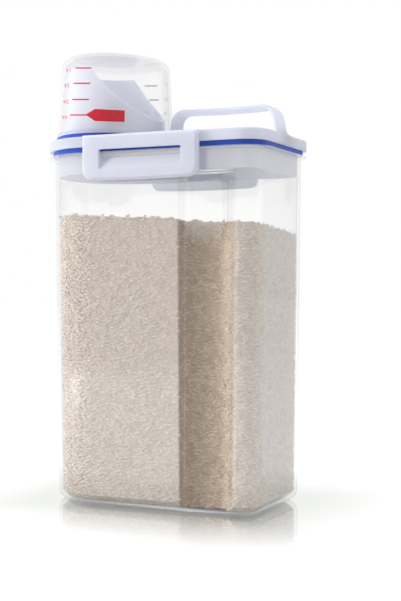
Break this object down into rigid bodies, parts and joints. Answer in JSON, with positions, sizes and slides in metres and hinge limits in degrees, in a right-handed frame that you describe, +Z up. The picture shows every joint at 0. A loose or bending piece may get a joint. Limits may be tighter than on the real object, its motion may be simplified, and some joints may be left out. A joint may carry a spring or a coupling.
{
  "type": "rice storage bin",
  "caption": "Narrow clear bin for dry rice, with a clipped lid, a fixed carrying arch and an upturned measuring cup that caps the pouring spout.",
  "frame": {"origin": "middle of the bin's footprint at the level it stands on", "axes": "+Z up; the pouring spout and its cup are at -X, the carrying arch at +X; the two latches are at -Y and +Y"},
  "size_m": [0.159, 0.099, 0.2782],
  "materials": {
    "clear_body": "clear moulded polypropylene, polished",
    "clear_cup": "clear moulded polystyrene, polished, with a red printed scale",
    "lid_plastic": "milky bluish white moulded plastic, satin",
    "blue_seal": "soft blue silicone",
    "rice": "short uncooked grains, dry and slightly translucent"
  },
  "bodies": {
    "container": {"container": "clear_body", "rice_fill": "rice"},
    "lid": {"lid": "lid_plastic", "lid_seal": "blue_seal", "pour_spout": "lid_plastic", "cup_seal": "blue_seal", "carry_handle": "lid_plastic"},
    "cup": {"measuring_cup": "clear_cup"},
    "left_latch": {"latch_left": "lid_plastic"},
    "right_latch": {"latch_right": "lid_plastic"}
  },
  "joints": [
    {"name": "lid_lift", "type": "slide", "parent": "container", "child": "lid", "axis": [0, 0, 1], "range_m": [0, 0.09]},
    {"name": "cup_lift", "type": "slide", "parent": "lid", "child": "cup", "axis": [0, 0, 1], "range_m": [0, 0.06]},
    {"name": "left_latch_flip", "type": "hinge", "parent": "lid", "child": "left_latch", "pos_m": [0.00275, -0.0463, 0.2248], "axis": [-1, 0, 0], "range_deg": [0, 115]},
    {"name": "right_latch_flip", "type": "hinge", "parent": "lid", "child": "right_latch", "pos_m": [0.00275, 0.0463, 0.2248], "axis": [1, 0, 0], "range_deg": [0, 115]}
  ]
}
